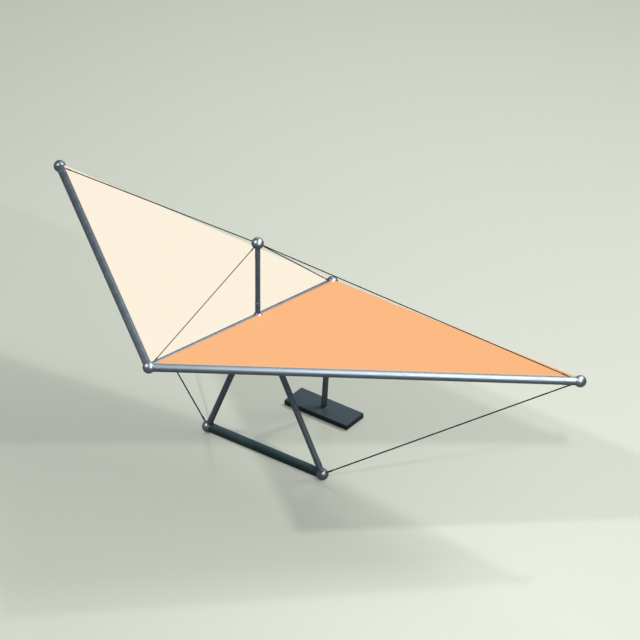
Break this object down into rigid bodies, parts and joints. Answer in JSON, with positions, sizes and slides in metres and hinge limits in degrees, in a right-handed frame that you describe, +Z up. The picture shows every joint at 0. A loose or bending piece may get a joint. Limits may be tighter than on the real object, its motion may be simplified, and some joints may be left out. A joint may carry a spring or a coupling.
{
  "type": "hang glider",
  "caption": "Hang glider with a tube airframe, two flat sails, kingpost, taut stays, control frame and a folding tail leg on a foot plate.",
  "frame": {"origin": "below the middle of the whole glider, on the surface it stands on", "axes": "+X to the pilot's left along the span, +Y from nose to tail, +Z up"},
  "size_m": [6.946, 3.326, 2.8063],
  "materials": {
    "tube": "satin slate-grey coat",
    "ball": "glossy dark steel",
    "grip": "dark matte sleeve",
    "plate": "dark satin coat",
    "wire": "dark sleeved wire",
    "orange_sail": "plain woven sailcloth",
    "cream_sail": "plain woven sailcloth"
  },
  "bodies": {
    "airframe": {"nose_ball": "ball", "wingtip_ball_left": "ball", "wingtip_ball_right": "ball", "keel_end_ball": "ball", "hub_ball": "ball", "kingpost_ball": "ball", "base_bar_ball_left": "ball", "base_bar_ball_right": "ball", "leading_edge_left": "tube", "leading_edge_right": "tube", "crossbar_left": "tube", "crossbar_right": "tube", "keel": "tube", "kingpost": "tube", "downtube_left": "tube", "downtube_right": "tube", "base_bar": "grip", "nose_stay": "wire", "tail_stay": "wire", "upper_stay_left": "wire", "upper_stay_right": "wire", "lower_stay_left": "wire", "lower_stay_right": "wire", "sail_left": "orange_sail", "sail_right": "cream_sail", "tail_leg_fork": "tube", "tail_leg_pin": "ball"},
    "tail_stand": {"tail_leg": "tube", "foot_plate": "plate"}
  },
  "joints": [
    {"name": "tail_leg_fold", "type": "hinge", "parent": "airframe", "child": "tail_stand", "pos_m": [0, 1.587, 1.4445], "axis": [-1, 0, 0], "range_deg": [0, 50]}
  ]
}
